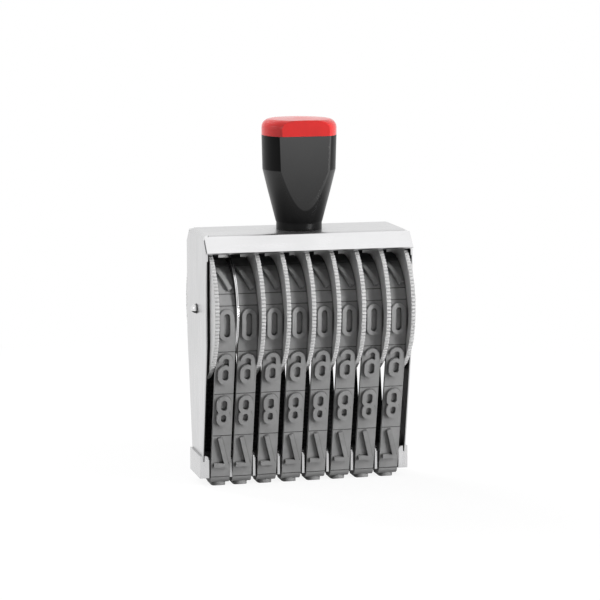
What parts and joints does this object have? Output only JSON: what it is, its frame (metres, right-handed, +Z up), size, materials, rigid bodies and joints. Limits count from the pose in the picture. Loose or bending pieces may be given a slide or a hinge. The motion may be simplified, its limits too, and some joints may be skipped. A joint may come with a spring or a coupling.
{
  "type": "band number stamp",
  "caption": "Hand number stamp with endless rubber digit bands on serrated thumb wheels, in a folded sheet-metal frame with a screwed-on handle.",
  "frame": {"origin": "middle of the printing face, at the bottom centre of the bounding box", "axes": "+Z up towards the handle, +X along the line of characters, -Y is the front"},
  "size_m": [0.1002, 0.0656, 0.1702],
  "materials": {
    "sheet_steel": "satin nickel plate",
    "foot_steel": "satin nickel plate",
    "bright_steel": "bright",
    "wheel_metal": "satin",
    "band_rubber": "matte moulded rubber",
    "anvil_plastic": "matte",
    "handle_black": "semi-gloss",
    "cap_red": "semi-gloss",
    "insert_brass": "turned"
  },
  "bodies": {
    "stamp_body": {"frame": "sheet_steel", "axle": "bright_steel", "left_washer": "bright_steel", "right_washer": "bright_steel", "band_1": "band_rubber", "band_2": "band_rubber", "band_3": "band_rubber", "band_4": "band_rubber", "band_5": "band_rubber", "band_6": "band_rubber", "band_7": "band_rubber", "band_8": "band_rubber", "anvil_bar": "anvil_plastic", "divider_1": "foot_steel", "divider_2": "foot_steel", "divider_3": "foot_steel", "divider_4": "foot_steel", "divider_5": "foot_steel", "divider_6": "foot_steel", "divider_7": "foot_steel", "left_foot": "foot_steel", "right_foot": "foot_steel", "handle_stud": "bright_steel", "handle_insert": "insert_brass", "handle_body": "handle_black", "handle_cap": "cap_red"},
    "wheel_1": {"wheel_1": "wheel_metal", "flange_1": "bright_steel"},
    "wheel_2": {"wheel_2": "wheel_metal", "flange_2": "bright_steel"},
    "wheel_3": {"wheel_3": "wheel_metal", "flange_3": "bright_steel"},
    "wheel_4": {"wheel_4": "wheel_metal", "flange_4": "bright_steel"},
    "wheel_5": {"wheel_5": "wheel_metal", "flange_5": "bright_steel"},
    "wheel_6": {"wheel_6": "wheel_metal", "flange_6": "bright_steel"},
    "wheel_7": {"wheel_7": "wheel_metal", "flange_7": "bright_steel"},
    "wheel_8": {"wheel_8": "wheel_metal", "flange_8": "bright_steel"}
  },
  "joints": [
    {"name": "wheel_1_turn", "type": "hinge", "parent": "stamp_body", "child": "wheel_1", "pos_m": [0, 0, 0.0824], "axis": [1, 0, 0], "continuous": true},
    {"name": "wheel_2_turn", "type": "hinge", "parent": "stamp_body", "child": "wheel_2", "pos_m": [0, 0, 0.0824], "axis": [1, 0, 0], "continuous": true},
    {"name": "wheel_3_turn", "type": "hinge", "parent": "stamp_body", "child": "wheel_3", "pos_m": [0, 0, 0.0824], "axis": [1, 0, 0], "continuous": true},
    {"name": "wheel_4_turn", "type": "hinge", "parent": "stamp_body", "child": "wheel_4", "pos_m": [0, 0, 0.0824], "axis": [1, 0, 0], "continuous": true},
    {"name": "wheel_5_turn", "type": "hinge", "parent": "stamp_body", "child": "wheel_5", "pos_m": [0, 0, 0.0824], "axis": [1, 0, 0], "continuous": true},
    {"name": "wheel_6_turn", "type": "hinge", "parent": "stamp_body", "child": "wheel_6", "pos_m": [0, 0, 0.0824], "axis": [1, 0, 0], "continuous": true},
    {"name": "wheel_7_turn", "type": "hinge", "parent": "stamp_body", "child": "wheel_7", "pos_m": [0, 0, 0.0824], "axis": [1, 0, 0], "continuous": true},
    {"name": "wheel_8_turn", "type": "hinge", "parent": "stamp_body", "child": "wheel_8", "pos_m": [0, 0, 0.0824], "axis": [1, 0, 0], "continuous": true}
  ]
}
